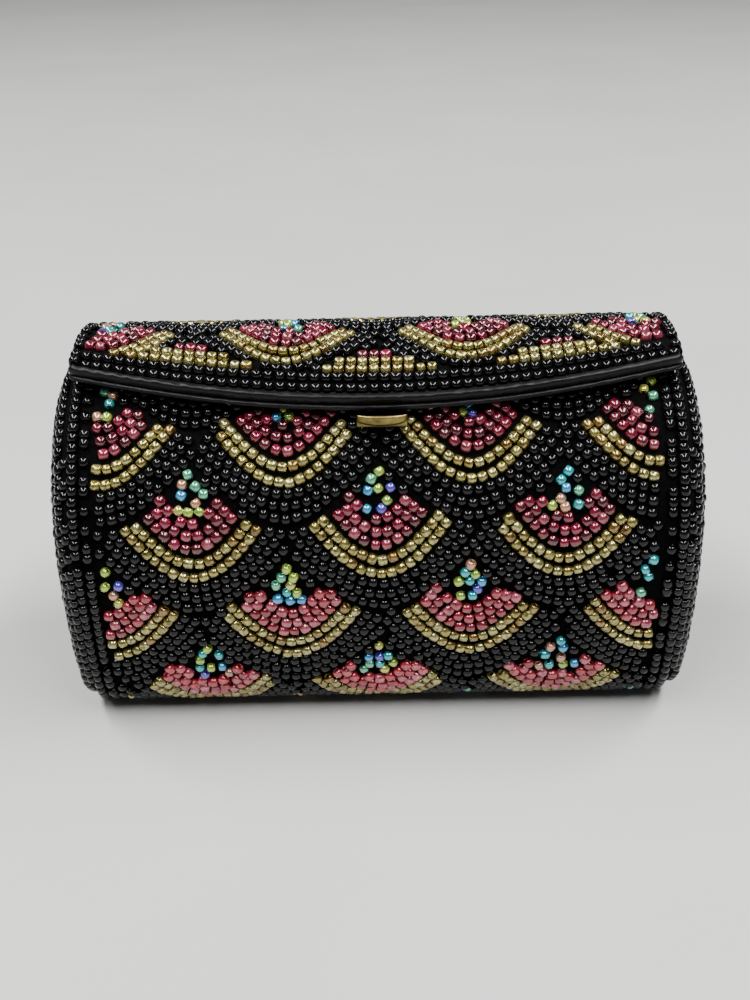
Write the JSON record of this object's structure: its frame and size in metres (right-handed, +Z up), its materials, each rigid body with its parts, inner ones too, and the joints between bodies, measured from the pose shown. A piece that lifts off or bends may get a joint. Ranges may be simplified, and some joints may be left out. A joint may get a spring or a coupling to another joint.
{
  "type": "coin purse",
  "caption": "Barrel-shaped coin purse covered in seed beads in a fish-scale pattern, with bulging ends and a hinged lid with a satin edge and a small brass thumb tab.",
  "frame": {"origin": "middle of the flat underside", "axes": "+X along the barrel to the right end, +Y to the back where the hinge is, +Z up"},
  "size_m": [0.109, 0.052, 0.0654],
  "materials": {
    "black_beads": "gloss",
    "gold_beads": "gloss, silver lined",
    "red_beads": "gloss, lustre",
    "iridescent_beads": "gloss, iridescent",
    "backing": "dull black cloth",
    "black_satin": "satin",
    "satin_lining": "satin",
    "stiff_board": "black, matt",
    "wadding": "matt",
    "antique_brass": "antique, worn"
  },
  "bodies": {
    "body": {"body_bead_cover": "black_beads", "body_board": "stiff_board", "body_lining": "satin_lining", "front_rim_rail": "antique_brass", "body_hinge_leaf": "antique_brass", "front_rim_binding": "black_satin", "catch_keeper": "antique_brass", "keeper_rivets": "antique_brass", "hinge_pin": "antique_brass", "end_board_left": "stiff_board", "end_board_right": "stiff_board", "end_lining_left": "satin_lining", "end_lining_right": "satin_lining", "end_pad_left": "wadding", "end_pad_right": "wadding", "end_bead_cover_left": "black_beads", "end_bead_cover_right": "black_beads"},
    "lid": {"lid_bead_cover": "black_beads", "lid_board": "stiff_board", "lid_lining": "satin_lining", "lid_frame": "antique_brass", "lid_edge_band": "black_satin", "lid_piping": "black_satin", "catch_tab": "antique_brass", "tab_rivets": "antique_brass"}
  },
  "joints": [
    {"name": "lid_hinge", "type": "hinge", "parent": "body", "child": "lid", "pos_m": [0, 0.02003, 0.04757], "axis": [-1, 0, 0], "range_deg": [0, 90]}
  ]
}
